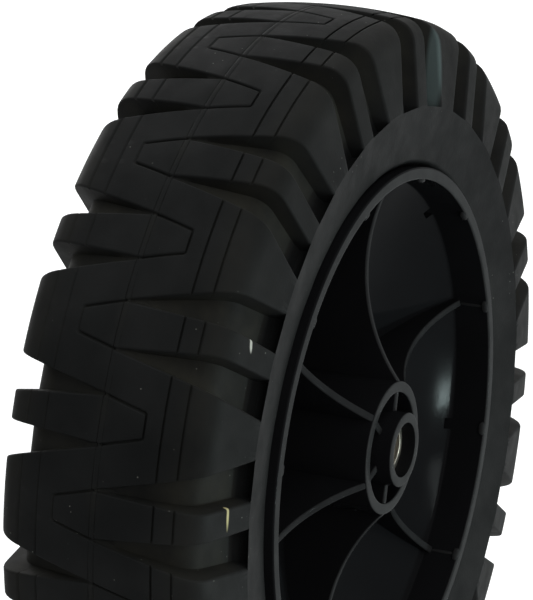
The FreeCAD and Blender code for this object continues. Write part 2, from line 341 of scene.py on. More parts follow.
def make_steel():
    """Metal with a blotchy colour and a roughness in thin bands."""
    material, nodes, links, shader = new_finish("sleeve_steel")
    shader.inputs["Metallic"].default_value = 1
    links.new(add_ramp(nodes, links, add_noise(nodes, links, 250),
                       [(0.35, STEEL_DARK), (0.7, STEEL_PALE)]),
              shader.inputs["Base Color"])
    scratches = add_noise(nodes, links, 400, stretch=SCRATCH_STRETCH)
    links.new(add_ramp(nodes, links, scratches, [(0.3, 0.28), (0.7, 0.45)]), shader.inputs["Roughness"])
    return material


steel = make_steel()
print("finish", steel.name)

# %% [markdown]
# ## The tyre
# The tread repeats: a narrow lug between two wedge-shaped grooves, then a wide block. The back of the tread
# has the same lugs half a step further round. A wedge groove starts as a point on the centre line; beyond
# that point it goes on as a thin slit that frames the head of the lug in the block across. A sculpted mesh
# or a boolean would do, but both leave long thin faces. Here the columns of the grid follow the edges of
# the grooves themselves, so every edge is clean and can be rounded by a few extra columns.

# %% Sizes of the tyre
CROWN = min(tyre_high[0], tyre_high[2], -tyre_low[0], -tyre_low[2]) / MM
SIDE_HALF_WIDTH = tyre_high[1] / MM
PARTING_DEPTH, FLASH_HALF_WIDTH, FLASH_EDGE = 0.4, 0.6, 0.15
CROWN_DROP = 2.1
TREAD_HALF_WIDTH = 23.0
SHOULDER_REACH = 4.6
SIDE_RING_RADIUS = 79.5
BEAD_RADIUS, BEAD_HALF_WIDTH = 66.7, 23.2
BEAD_ROUND = (66.35, 22.95)
SEAT_RADIUS, SEAT_HALF_WIDTH = 65.3, 21.8
GROOVE_TIP_DEPTH = 0.4
FLOOR_CORNER = (93.9, 19.5)
FLOOR_FOOT_DEPTH = 3.5
FLOOR_FOOT_LEVEL = SIDE_HALF_WIDTH - FLOOR_FOOT_DEPTH
FLOOR_FOOT, RING_EDGE = (SIDE_RING_RADIUS, FLOOR_FOOT_LEVEL), (SIDE_RING_RADIUS, SIDE_HALF_WIDTH)
FLOOR_BEND = 4.0
POCKET_DEPTH, POCKET_TOP, POCKET_BRIM, POCKET_FOOT, POCKET_WALL = 2.4, (0.3, 0.15), (0.35, 0.2), 0.6, 1.2
SHOULDER_ROWS, SIDE_ROWS = 8, 6
RING_SHARES, BRIM_SHARES = [0.02, 0.045, 0.25, 0.5, 0.75, 0.93, 0.98, 1.0], [0.004, 0.008, 0.012, 0.016]
SLIT_DEPTH, SLIT_HALF_WIDTH = 0.75, 0.2
SLIT_STEPS = np.array([-0.45, -0.26, -0.2, 0.2, 0.26, 0.45])
SLIT_DEPTHS = np.array([0, 0.1, SLIT_DEPTH, SLIT_DEPTH, 0.1, 0])
PLAIN_LEVELS = (2.2, 4.0, 6.0, 7.8, 11.3, 15.6)
HEAD_LEVEL = 9.5
SIDE_SLITS, SIDE_SLIT_SHARES = (13.4, 17.8), (0.9, 0.75)
print("tyre", round(2 * CROWN, 1), "mm across the crown,", round(2 * SIDE_HALF_WIDTH, 1), "mm wide")

# %% [markdown]
# A section of the tyre has a gently round crown, a round shoulder, a straight side, a flat ring and a seat
# for the rim. It could be drawn as one spline; short curves and lines, joined end to end, keep each size in
# one place.

# %% Curves of the tyre's section


def bend(start, corner, finish, share):
    """Quadratic curve that leaves along one side of a corner and arrives along the other.

    (1 - t) squared times the start, 2t(1 - t) times the corner and t squared times the finish."""
    share = np.asarray(share)[:, None]
    start, corner, finish = (np.array(p) for p in (start, corner, finish))
    return (1 - share) ** 2 * start + 2 * share * (1 - share) * corner + share ** 2 * finish


def line(start, finish, share):
    """Points at the given shares of the way from the start to the finish."""
    share = np.asarray(share)[:, None]
    return np.array(start) + (np.array(finish) - np.array(start)) * share


def crown_levels():
    """Levels of the rows across half the crown, and how deep the slits are there.

    A slit is six rows wide. The first depths are of the slits that run round the tread, the second ones of
    the slit that closes the head of a lug."""
    plain = np.array([0, *(FLASH_HALF_WIDTH + np.array([-FLASH_EDGE, 0, FLASH_EDGE])), *PLAIN_LEVELS])
    centres = np.array([HEAD_LEVEL, *SIDE_SLITS])
    level = np.concatenate([plain, (centres[:, None] + SLIT_STEPS).ravel()])
    bare, none = np.zeros(len(plain)), np.zeros(len(SLIT_DEPTHS))
    round_slit = np.concatenate([bare, none, *[SLIT_DEPTHS * share for share in SIDE_SLIT_SHARES]])
    head_slit = np.concatenate([bare, SLIT_DEPTHS, none, none])
    order = np.argsort(level)
    return level[order], round_slit[order], head_slit[order]


def tread_rows(level):
    """Points (radius, level) over the crown, round the shoulder and down the side: on the lugs, on the floor.

    The crown falls with the square of the level, the shoulder is a quadratic curve and the side is straight.
    The floor below is two straight lines with a quadratic curve between them."""
    crown_end = TREAD_HALF_WIDTH - SHOULDER_REACH
    crown = np.stack([CROWN - CROWN_DROP * (level / TREAD_HALF_WIDTH) ** 2, level], -1)
    top = (CROWN - CROWN_DROP * (crown_end / TREAD_HALF_WIDTH) ** 2, crown_end)
    corner = (CROWN - CROWN_DROP, TREAD_HALF_WIDTH)
    side_top = np.array(corner) + (np.array(RING_EDGE) - corner) * SHOULDER_REACH / (corner[0] - RING_EDGE[0])
    floor_top = (CROWN - GROOVE_TIP_DEPTH, 0.0)
    bend_top = np.array(FLOOR_CORNER) + (np.array(floor_top) - FLOOR_CORNER) * FLOOR_BEND / FLOOR_CORNER[1]
    fall = FLOOR_BEND / (FLOOR_CORNER[0] - SIDE_RING_RADIUS)
    bend_side = np.array(FLOOR_CORNER) + (np.array(FLOOR_FOOT) - FLOOR_CORNER) * fall
    turn = np.linspace(0, 1, SHOULDER_ROWS)
    down = np.linspace(0, 1, SIDE_ROWS)[1:]
    lugs = [crown, bend(top, corner, side_top, turn), line(side_top, RING_EDGE, down)]
    floor = [line(floor_top, bend_top, level / crown_end), bend(bend_top, FLOOR_CORNER, bend_side, turn),
             line(bend_side, FLOOR_FOOT, down)]
    return lugs, floor


def foot_rows():
    """Points from the edge of the side ring to the middle of the seat: under the lugs and under the grooves.

    They differ only at the ring's brim, where a groove ends in a small pocket with a flat floor."""
    low = SIDE_RING_RADIUS - POCKET_DEPTH
    pocket = np.array([(SIDE_RING_RADIUS - POCKET_TOP[0], FLOOR_FOOT_LEVEL + POCKET_TOP[1]),
                       (low, FLOOR_FOOT_LEVEL + POCKET_FOOT), (low, SIDE_HALF_WIDTH - POCKET_WALL),
                       (SIDE_RING_RADIUS - POCKET_BRIM[0], SIDE_HALF_WIDTH - POCKET_BRIM[1])])
    bead = (BEAD_RADIUS, BEAD_HALF_WIDTH)
    seat = np.array([BEAD_ROUND, (SEAT_RADIUS, SEAT_HALF_WIDTH), (SEAT_RADIUS, SEAT_HALF_WIDTH / 4)])
    rest = [line(RING_EDGE, bead, RING_SHARES), seat]
    return [line(RING_EDGE, bead, BRIM_SHARES), *rest], [pocket, *rest]


# %% [markdown]
# The rows are worked out for one half of the tyre and mirrored for the other. Each row has a point on the
# lugs and the point straight below it on the groove floor, so that a column can lie at any depth between
# the two.

# %% Rows of the tyre
crown_level, round_slit_half, head_slit_half = crown_levels()
lug_half, floor_half = (np.concatenate([*tread, *foot])
                        for tread, foot in zip(tread_rows(crown_level), foot_rows()))
plain_rows = (0, len(lug_half) - len(crown_level))
round_slit_half, head_slit_half = np.pad(round_slit_half, plain_rows), np.pad(head_slit_half, plain_rows)
flip = np.array([1.0, -1.0])
lug_rows = np.concatenate([lug_half[:0:-1], lug_half * flip])
floor_rows = np.concatenate([floor_half[:0:-1], floor_half * flip])
round_slits = np.concatenate([round_slit_half[:0:-1], round_slit_half])
head_slits = np.concatenate([head_slit_half[:0:-1], head_slit_half])
groove_depth = np.linalg.norm(floor_rows - lug_rows, axis=1)
inward = (floor_rows - lug_rows) / np.maximum(groove_depth, TINY)[:, None]
print(len(lug_rows), "rows, deepest groove", round(groove_depth.max(), 2), "mm")

# %% [markdown]
# A column is told by its place across one edge of a lug and by how deep it may lie. Where the row is on the
# lug's own side of the tread, the two edges of the groove run apart; on the other side they stay a slit's
# width apart until the head of the lug ends. Between two grooves a few plain columns fill the rubber.

# %% Columns that follow the grooves
LUG_PAIRS = 16
STEP = 2 * math.pi / LUG_PAIRS
TREAD_CLOCK = math.radians(90 + 13.2)
LUG_TIP_HALF, LUG_END_HALF, BLOCK_END_HALF, HEAD_END_HALF = 5.15, 3.1, 11.2, 2.6
ROUNDING = [(-0.5, 0.0), (-0.26, 0.06), (-0.07, 0.24), (0.0, 0.55)]
FRONT, BACK = -1, 1
TO_FLOOR = math.inf
FOOT_INSET, FOOT_SHARE = 0.3, 0.2
LUG_FILL, BLOCK_FILL = 3, 4
RING_MARGIN = 0.1
on_ring = lug_rows[:, 0] <= SIDE_RING_RADIUS - RING_MARGIN


def groove_edges(level, own_side):
    """Distance of the two edges of a groove from the middle of its lug, at each level across the tread.

    Each edge is straight: its distance changes in step with the level, from the tip to the side of the tyre
    or to the end of the lug's head."""
    reach = np.where(on_ring, SIDE_HALF_WIDTH, np.abs(level))
    out = reach / SIDE_HALF_WIDTH
    wedge_in = LUG_TIP_HALF + (LUG_END_HALF - LUG_TIP_HALF) * out
    wedge_out = LUG_TIP_HALF + (BLOCK_END_HALF - LUG_TIP_HALF) * out
    slit = LUG_TIP_HALF + (HEAD_END_HALF - LUG_TIP_HALF) * np.minimum(reach, HEAD_LEVEL) / HEAD_LEVEL
    own = level * own_side > 0
    edge_in, edge_out = np.where(own, wedge_in, slit), np.where(own, wedge_out, slit)
    return edge_in - SLIT_HALF_WIDTH, edge_out + SLIT_HALF_WIDTH


def sink(depth):
    """Points of the section, each moved from the lugs towards the groove floor by a depth."""
    moved = lug_rows + inward * depth[:, None]
    return moved[:, 0], moved[:, 1]


def groove_columns(lug_angle, hand, own_side):
    """The columns across one groove, from its lug to the block beside it: angle, radius and level of each."""
    own = lug_rows[:, 1] * own_side >= 0
    in_head = np.abs(lug_rows[:, 1]) < HEAD_LEVEL + SLIT_HALF_WIDTH
    limit = np.where(own, groove_depth, np.where(in_head, SLIT_DEPTH, 0.0))
    slits = (np.maximum(round_slits, np.where(own, 0.0, head_slits)), round_slits)
    places = [(0, offset, depth) for offset, depth in ROUNDING]
    places += [(0, None, TO_FLOOR), (1, None, TO_FLOOR)]
    places += [(1, -offset, depth) for offset, depth in ROUNDING[::-1]]
    columns = []
    for share, offset, depth in places:
        radius, level = sink(np.maximum(np.minimum(depth, limit), slits[share]))
        edge_in, edge_out = groove_edges(level, own_side)
        if offset is None:
            offset = np.minimum(FOOT_INSET, FOOT_SHARE * (edge_out - edge_in)) * (1 - 2 * share)
        across = edge_in + (edge_out - edge_in) * share + offset
        reach = np.maximum(radius, SIDE_RING_RADIUS)
        columns.append((lug_angle + hand * np.arcsin(across / reach), radius, level))
    return columns[::hand]


def land_columns(before, after, count, slits):
    """Plain columns that share out the angle between two grooves."""
    radius, level = sink(slits)
    shares = np.arange(1, count + 1) / (count + 1)
    return [(before + (after - before) * share, radius, level) for share in shares]


def tread_period():
    """All columns of one step of the tread, from the first edge of a front lug round to the next one."""
    lines = [groove_columns(angle, hand, side)
             for angle, side in ((0.0, FRONT), (STEP / 2, BACK)) for hand in (-1, 1)]
    columns = []
    for number, columns_of_line in enumerate(lines):
        columns += columns_of_line
        is_last = number == len(lines) - 1
        following = lines[0][0][0] + STEP if is_last else lines[number + 1][0][0]
        own_side = FRONT if number == 0 else BACK
        is_lug = number in (0, 2)
        across = lug_rows[:, 1] * own_side <= 0
        slits = np.maximum(round_slits, np.where(across, head_slits, 0)) if is_lug else round_slits
        columns += land_columns(columns_of_line[-1][0], following, LUG_FILL if is_lug else BLOCK_FILL, slits)
    return (np.stack(values, 1) for values in zip(*columns))


angle, radius, level = tread_period()
print(angle.shape[1], "columns in each of", LUG_PAIRS, "steps")

# %% [markdown]
# The two halves of the mould leave a seam round the crown: a narrow strip between two fine lines, deeper in
# some places than in others. A few sines of the angle, which don't repeat in step with the lugs, make it
# uneven.

# %% Surface of the tyre
# Each line beside the seam: rows from the middle one, and its share of the full depth
SEAM_ROWS = ((-2, 1.0), (2, 0.6))


def parting_line(angle):
    """Share of its full depth that the line beside the mould's seam has at each angle a.

    0.7 + 0.4 sin 37a sin(101a + 1) + 0.2 sin 7a, kept between 0.2 and 1."""
    wander = 0.4 * np.sin(37 * angle) * np.sin(101 * angle + 1) + 0.2 * np.sin(7 * angle)
    return np.clip(0.7 + wander, 0.2, 1)


turns = np.arange(LUG_PAIRS) * STEP
angle = (angle[:, None, :] + turns[None, :, None]).reshape(len(lug_rows), -1)
radius, level = (np.tile(values, (1, LUG_PAIRS)) for values in (radius, level))
middle = len(lug_half) - 1
for step, share in SEAM_ROWS:
    radius[middle + step] -= share * PARTING_DEPTH * parting_line(angle[middle + step] + share)
tyre_points = round_axle(radius, level, TREAD_CLOCK - angle)
print("tyre grid", angle.shape)

# %% [markdown]
# Dust gathers deep in the grooves, on the faces that look up or to the front, and not in the pockets at
# their feet. It lies thinly on the shoulders and along the seam. Noise alone would put it anywhere, so the
# amount at each point comes from the grid: how far the point lies below the lugs, and which way the surface
# looks there.

# %% Dust on the tyre
SHOULDER_LEVEL, SHOULDER_SPREAD, SEAM_SPREAD, FULL_DUST_DEPTH = 20.0, 4.0, 0.9, 2.0
DUST_SIDE, DUST_FOOT = np.array([-0.55, -0.25, 0.8]), 3.0
SETTLED_MEAN, SETTLED_SLOPE, SHOULDER_DUST, SEAM_DUST, SEAM_PHASE = 0.45, 0.75, 0.3, 0.3, 0.9
above_foot = np.clip((floor_rows[:, :1] - SIDE_RING_RADIUS) / DUST_FOOT, 0, 1)
sunk = np.hypot(radius - lug_rows[:, :1], level - lug_rows[:, 1:]) / FULL_DUST_DEPTH
round_step = np.roll(tyre_points, -1, 1) - np.roll(tyre_points, 1, 1)
facing = np.cross(np.gradient(tyre_points, axis=0), round_step)
facing /= np.maximum(np.linalg.norm(facing, axis=2, keepdims=True), TINY)
facing *= np.sign(np.sum(facing[middle] * tyre_points[middle]))
settled = np.clip(SETTLED_MEAN + SETTLED_SLOPE * facing @ DUST_SIDE, 0, 1)
on_shoulder = np.exp(-((np.abs(lug_rows[:, 1:]) - SHOULDER_LEVEL) / SHOULDER_SPREAD) ** 2)
by_blocks = np.clip(np.sin(2 * LUG_PAIRS * angle + SEAM_PHASE), 0, 1)
on_seam = np.exp(-(lug_rows[:, 1:] / SEAM_SPREAD) ** 2) * by_blocks
dust = np.minimum(sunk, 1) * settled + SHOULDER_DUST * on_shoulder + SEAM_DUST * on_seam
add_piece("moulded_tyre", tyre_points, grid_faces(*angle.shape, True, True), rubber, "tyre",
          marks=np.clip(dust, 0, 1) * above_foot)

# %% [markdown]
# ## The hub
# The hub is one moulding, turned about the axle: a rim with a lip, a web like a shallow bowl, a ring round
# the axle tube. Its corners are softly rounded, as the mould leaves them, and those small rounds catch the
# light. The section is drawn with sharp corners first; each corner is then replaced by a short curve.

# %% Sizes of the hub
RIM_RADIUS, RIM_WALL, LIP_LEVEL = 65.2, 2.9, 24.8
WEB_RIM_LEVEL, WEB_MID_RADIUS, WEB_MID_LEVEL, WEB_WALL = 15.6, 44.0, 5.5, 3.0
BOSS_RADIUS, BOSS_WALL, BOSS_LEVEL = 15.6, 2.6, 24.7
TUBE_RADIUS, TUBE_INSIDE = 8.7, 6.36
TUBE_LEVEL = hub_high[1] / MM
RIM_INSIDE = RIM_RADIUS - RIM_WALL
RIB_CLOCK = math.radians(15.0)
RIB_COUNT = 6
WINDOW_HEIGHT = 1.6
WINDOW_EDGE = RIM_INSIDE - WINDOW_HEIGHT
LIP_ROUND, BOSS_FOOT_ROUND, BOSS_ROUND = 0.5, 0.8, 0.4
TUBE_FOOT_ROUND, TUBE_ROUND, BORE_ROUND = 0.6, 0.35, 0.15
WEB_ROWS, HUB_COLUMNS = 37, 288
print("hub", round(2 * TUBE_LEVEL, 1), "mm long over its axle tube")

# %% [markdown]
# Two curves do all the work. The bowl and the free edges of the ribs are parts of circles, each given by
# three points that can be measured. A round on a corner is a short quadratic curve, which needs no centre.

# %% Curves of the hub's section


def circle_through(first, second, third, radius):
    """Level at each radius on the circle through three points (radius, level) of the section.

    The centre is as far from all three; the level is the centre's, plus or minus the root of the size squared
    less the squared distance from the centre along the radius."""
    points = np.array([first, second, third])
    system = 2 * (points[1:] - points[0])
    centre = np.linalg.solve(system, (points[1:] ** 2).sum(1) - (points[0] ** 2).sum())
    size = np.linalg.norm(points[0] - centre)
    sign = np.sign(points[1, 1] - centre[1])
    return centre[1] + sign * np.sqrt(size ** 2 - (radius - centre[0]) ** 2)


def rounded(corners, sizes, steps=5):
    """A closed section whose corners are each replaced by a quadratic curve of the given size.

    The curve starts and ends that far from the corner, along its two sides."""
    corners = np.array(corners, float)
    sizes = np.array(sizes, float)[:, None]
    before, after = np.roll(corners, 1, 0) - corners, np.roll(corners, -1, 0) - corners
    before /= np.linalg.norm(before, axis=1, keepdims=True)
    after /= np.linalg.norm(after, axis=1, keepdims=True)
    share = np.linspace(0, 1, steps)[None, :, None]
    start, finish = (corners + before * sizes)[:, None], (corners + after * sizes)[:, None]
    curve = (1 - share) ** 2 * start + 2 * share * (1 - share) * corners[:, None] + share ** 2 * finish
    return curve.reshape(-1, 2)


# %% [markdown]
# The section goes once round the moulding: over the rim, down the back of the bowl, round the boss and the
# tube and back up the front of the bowl. Turned about the axle, it gives the whole hub but for its ribs.

# %% Section of the hub


def web_level(radius, lift=0.0):
    """Level of the web's front at each radius, on a circle from the boss to the rim, raised by a lift."""
    return circle_through((RIM_INSIDE, -WEB_RIM_LEVEL), (WEB_MID_RADIUS, -WEB_MID_LEVEL), (BOSS_RADIUS, 0.0),
                          radius) + lift


def hub_section():
    """The hub's closed section, from the front lip over the outside and back along the web and the tube.

    Each corner is (radius, level, size of its round); the points along the web have no round."""
    web = np.append(np.linspace(BOSS_RADIUS, WINDOW_EDGE, WEB_ROWS)[1:], (WINDOW_EDGE + RIM_INSIDE) / 2)
    web_front = [(r, z, 0.0) for r, z in zip(web, web_level(web))]
    web_back = [(r, z, 0.0) for r, z in zip(web[::-1], web_level(web[::-1], WEB_WALL))]
    boss_inside = BOSS_RADIUS - BOSS_WALL
    rim = [(RIM_INSIDE, -LIP_LEVEL, LIP_ROUND), (RIM_RADIUS, -LIP_LEVEL, LIP_ROUND),
           (RIM_RADIUS, LIP_LEVEL, LIP_ROUND), (RIM_INSIDE, LIP_LEVEL, LIP_ROUND),
           (RIM_INSIDE, WEB_WALL - WEB_RIM_LEVEL, LIP_ROUND)]
    boss_back = [(BOSS_RADIUS, WEB_WALL, BOSS_FOOT_ROUND), (BOSS_RADIUS, BOSS_LEVEL, BOSS_ROUND),
                 (boss_inside, BOSS_LEVEL, BOSS_ROUND), (boss_inside, WEB_WALL, TUBE_FOOT_ROUND)]
    tube = [(TUBE_RADIUS, WEB_WALL, TUBE_FOOT_ROUND), (TUBE_RADIUS, TUBE_LEVEL, TUBE_ROUND),
            (TUBE_INSIDE, TUBE_LEVEL, BORE_ROUND), (TUBE_INSIDE, -TUBE_LEVEL, BORE_ROUND),
            (TUBE_RADIUS, -TUBE_LEVEL, TUBE_ROUND), (TUBE_RADIUS, 0.0, TUBE_FOOT_ROUND)]
    boss_front = [(boss_inside, 0.0, TUBE_FOOT_ROUND), (boss_inside, -BOSS_LEVEL, BOSS_ROUND),
                  (BOSS_RADIUS, -BOSS_LEVEL, BOSS_ROUND), (BOSS_RADIUS, 0.0, BOSS_FOOT_ROUND)]
    web_foot = (RIM_INSIDE, -WEB_RIM_LEVEL, LIP_ROUND)
    corners = np.array([*rim, *web_back, *boss_back, *tube, *boss_front, *web_front, web_foot])
    curve = rounded(corners[:, :2], corners[:, 2]).reshape(len(corners), -1, 2)
    keep = np.ones(curve.shape[:2], bool)
    keep[corners[:, 2] == 0, 1:] = False
    return curve[keep]


section = hub_section()
hub_angles = np.linspace(0, 2 * math.pi, HUB_COLUMNS, endpoint=False)
hub_points = round_axle(section[:, :1], section[:, 1:], hub_angles[None, :])
print(len(section), "points round the hub's section")

# %% [markdown]
# Half way between two ribs, a small window goes through the web beside the rim: the mould's pin for the nub
# above it stood there. The faces of the grid are left out in that patch, in front and behind, and four
# walls join the two edges.

# %% Windows in the web
WINDOW_COLUMNS, WINDOW_MARGIN = 2, 0.6
NEAR = 1e-6


def open_windows(rows, columns):
    """Faces of the hub's grid without the window patches, and the walls between the front and back edges."""
    near_rim = (section[:, 0] >= WINDOW_EDGE - NEAR) & (section[:, 0] <= RIM_INSIDE + NEAR)
    above = section[:, 1] - web_level(np.minimum(section[:, 0], RIM_INSIDE))
    in_front, behind = above > -WINDOW_MARGIN, above < WEB_WALL + WINDOW_MARGIN
    front = np.flatnonzero(near_rim & in_front & (above < WEB_WALL / 2))
    back = np.flatnonzero(near_rim & behind & (above > WEB_WALL / 2))[::-1]
    middles = RIB_CLOCK + (np.arange(RIB_COUNT) + 0.5) * 2 * math.pi / RIB_COUNT
    first = np.round(middles / (2 * math.pi) * columns).astype(int) - WINDOW_COLUMNS // 2
    across = first[:, None] + np.arange(WINDOW_COLUMNS + 1)
    cells = grid_faces(rows, columns, True, True)
    row, column = cells[:, 0] // columns, cells[:, 0] % columns
    hole = np.isin(row, np.concatenate([front[:-1], back[1:]])) & np.isin(column, across[:, :-1] % columns)

    def number(row_numbers, column_numbers):
        """The number of the point in a row and a column of the grid."""
        return np.asarray(row_numbers) * columns + column_numbers % columns

    left, right = across[:, :-1], across[:, 1:]
    start, end = across[:, :1], across[:, -1:]
    walls = [np.stack([number(front[0], left), number(front[0], right), number(back[0], right),
                       number(back[0], left)], -1),
             np.stack([number(front[-1], right), number(front[-1], left), number(back[-1], left),
                       number(back[-1], right)], -1),
             np.stack([number(front[1:], start), number(front[:-1], start), number(back[:-1], start),
                       number(back[1:], start)], -1),
             np.stack([number(front[:-1], end), number(front[1:], end), number(back[1:], end),
                       number(back[:-1], end)], -1)]
    return np.concatenate([cells[~hole], *[wall.reshape(-1, 4) for wall in walls]])


hub_faces = open_windows(len(section), len(hub_angles))
print(RIB_COUNT, "windows in the web")

# %% [markdown]
# The faces that stand out, the lip, the boss ring and the end of the tube, are painted lighter: partly wear
# from hands and tools, partly a painted highlight. A shader's Pointiness would find every edge of the
# moulding, the hidden ones too. Only these faces are marked, so their rows are picked by place.

# %% Wear and painted highlight of the hub
EDGE_MARK_REACH = 0.3
LIP_MARK_SHIFT, LIP_MARK_HALF, BOSS_MARK_HALF, TUBE_MARK_HALF = 0.3, 1.3, 1.25, 1.1


def marked_edge(middle, half_width, level):
    """The points of the section that are near a radius and at a level or beyond it, in front or behind."""
    near = np.abs(section[:, 0] - middle) < half_width
    return near & (np.abs(section[:, 1]) > level - EDGE_MARK_REACH)


lip_edge = marked_edge((RIM_RADIUS + RIM_INSIDE) / 2 - LIP_MARK_SHIFT, LIP_MARK_HALF, LIP_LEVEL)
boss_edge = marked_edge(BOSS_RADIUS - BOSS_WALL / 2, BOSS_MARK_HALF, BOSS_LEVEL)
tube_edge = marked_edge((TUBE_RADIUS + TUBE_INSIDE) / 2, TUBE_MARK_HALF, TUBE_LEVEL)
# Painted lighter here: partly wear, partly a painted highlight on the lip, boss ring and tube end
hub_wear_and_highlight = np.repeat((lip_edge | boss_edge | tube_edge)[:, None], len(hub_angles), axis=1)
add_piece("hub_moulding", hub_points, hub_faces, plastic, "wheel_hub", marks=hub_wear_and_highlight)

# %% [markdown]
# Ribs, nubs and raised lines repeat round the axle. Blender's array modifier could copy them, but then the
# copies aren't in the mesh itself; a few array helpers close one bar, turn it and repeat its faces.

# %% Helpers for bars round the axle


def closed_tube(stations, around):
    """Faces of a tube of stations, with its two ends closed by strips between opposite points."""
    walls = grid_faces(stations, around, False, True)
    k = np.arange(around // 2 - 1)
    cap = np.stack([k, k + 1, around - 2 - k, around - 1 - k], -1)
    return np.concatenate([walls, cap[:, ::-1], cap + (stations - 1) * around])


def spread_round(points, angles):
    """Copies of a set of points, each turned about the axle by an angle a, from +X towards +Z.

    x becomes x cos a - z sin a, and z becomes x sin a + z cos a."""
    cos, sin = np.cos(angles)[:, None], np.sin(angles)[:, None]
    x, y, z = (points.reshape(-1, 3)[None, :, k] for k in range(3))
    y = np.broadcast_to(y, (len(angles), y.shape[1]))
    return np.stack([x * cos - z * sin, y, x * sin + z * cos], -1)


def repeat_faces(quads, points, copies):
    """The faces of so many copies of a mesh with that number of points."""
    return (quads[None] + (np.arange(copies) * points)[:, None, None]).reshape(-1, 4)


# %% [markdown]
# Six thin ribs stiffen the bowl. Their free edge is hollow: high at the boss, lowest half way, and rising
# again at the rim. Each rib is a rounded strip of constant thickness, carried along the radius, so one grid
# of stations along the radius and points round the strip makes it.

# %% Ribs
RIB_WALL, RIB_MID_RADIUS, RIB_MID_LEVEL, RIB_RIM_LEVEL = 1.8, 42.0, 13.4, 17.5
RIB_BOSS_STEP, RIB_TUBE_SINK, RIB_RIM_SINK = 0.3, 0.4, 0.5
RIB_BOSS_LEVEL = BOSS_LEVEL - RIB_BOSS_STEP
RIB_BOSS_STATIONS, RIB_WEB_STATIONS, CORNER_POINTS = 8, 40, 4
RIB_ROUND, RIB_WEAR_AND_HIGHLIGHT, FLAT_MARGIN = 0.45, 0.55, 0.01


def rib_points():
    """Points of one rib along +X: stations along the radius, and a rounded rectangle at each station.

    The free edge is level over the boss, then a part of a circle; the back mirrors the front."""
    over_boss = np.linspace(TUBE_RADIUS - RIB_TUBE_SINK, BOSS_RADIUS, RIB_BOSS_STATIONS)[:-1]
    over_web = np.linspace(BOSS_RADIUS, RIM_INSIDE + RIB_RIM_SINK, RIB_WEB_STATIONS)
    stations = np.concatenate([over_boss, over_web])
    arc = circle_through((BOSS_RADIUS, RIB_BOSS_LEVEL), (RIB_MID_RADIUS, RIB_MID_LEVEL),
                         (RIM_INSIDE, RIB_RIM_LEVEL), np.maximum(stations, BOSS_RADIUS))
    half = RIB_WALL / 2
    turn = np.linspace(0, math.pi / 2, CORNER_POINTS)
    corner_x = half - RIB_ROUND + RIB_ROUND * np.sin(turn)
    corner_y = -RIB_ROUND + RIB_ROUND * np.cos(turn)
    across = np.concatenate([corner_x, corner_x[::-1], -corner_x, -corner_x[::-1]])
    side = np.repeat([1.0, -1.0, -1.0, 1.0], CORNER_POINTS)
    drop = np.concatenate([corner_y, corner_y[::-1], corner_y, corner_y[::-1]])
    level = side * (arc[:, None] + drop)
    x, z = np.broadcast_arrays(stations[:, None], across[None, :])
    return np.stack([x, level, z], -1)


rib = rib_points()
rib_angles = RIB_CLOCK + np.arange(RIB_COUNT) * 2 * math.pi / RIB_COUNT
# The ribs' free edges are painted lighter: partly wear, partly a painted highlight
on_edge = np.abs(rib[:, :, 2]) < RIB_WALL / 2 - FLAT_MARGIN
rib_wear_and_highlight = RIB_WEAR_AND_HIGHLIGHT * np.tile(on_edge, (RIB_COUNT, 1, 1))
add_piece("hub_ribs", spread_round(rib, rib_angles),
          repeat_faces(closed_tube(*rib.shape[:2]), rib.shape[0] * rib.shape[1], RIB_COUNT),
          plastic, marks=rib_wear_and_highlight)

# %% [markdown]
# Twelve small nubs stand inside the lip, where a cap would snap in, and a fine raised line runs from each
# rib up the rim to its nub. Both are little rounded bars, half sunk into the wall.

# %% Nubs
NUB_HEIGHT, NUB_LENGTH, NUB_WIDTH, NUB_INSET, NUB_HIGHLIGHT = 0.8, 1.5, 3.4, 0.05, 0.6
BAR_STATIONS, BAR_POINTS, BAR_SQUARENESS, BAR_END_POWER, BAR_END_SHARE = 9, 16, 0.6, 6, 0.12


def rounded_bar(along, size_x, size_y):
    """A closed bar: stations along it, and at each a squarish oval that shrinks towards both ends.

    The oval is a size times the cosine or sine of the turn, raised to a power below one with its sign kept.
    It shrinks with the sixth power of the place along the bar."""
    end = np.clip(1 - np.abs(along) ** BAR_END_POWER, BAR_END_SHARE, 1)[:, None]
    turn = np.linspace(0, 2 * math.pi, BAR_POINTS, endpoint=False)
    x = np.sign(np.cos(turn)) * np.abs(np.cos(turn)) ** BAR_SQUARENESS * size_x
    y = np.sign(np.sin(turn)) * np.abs(np.sin(turn)) ** BAR_SQUARENESS * size_y
    return x * end, y * end


along = np.linspace(-1, 1, BAR_STATIONS)
nub_x, nub_y = rounded_bar(along, NUB_HEIGHT, NUB_LENGTH / 2)
nub = np.stack([RIM_INSIDE + nub_x, NUB_INSET + NUB_LENGTH / 2 - LIP_LEVEL + nub_y,
                np.broadcast_to(along[:, None] * NUB_WIDTH / 2, nub_x.shape)], -1)
nub_angles = RIB_CLOCK + np.arange(2 * RIB_COUNT) * math.pi / RIB_COUNT
nub_count = nub.shape[0] * nub.shape[1]
# Each nub is painted lighter all over: a painted highlight
add_piece("cap_nubs", spread_round(nub, nub_angles),
          repeat_faces(closed_tube(*nub.shape[:2]), nub_count, 2 * RIB_COUNT),
          plastic, marks=np.full(nub_count * 2 * RIB_COUNT, NUB_HIGHLIGHT))

# %% [markdown]
# The raised lines are the same kind of bar, upright on the rim's inside and much thinner.

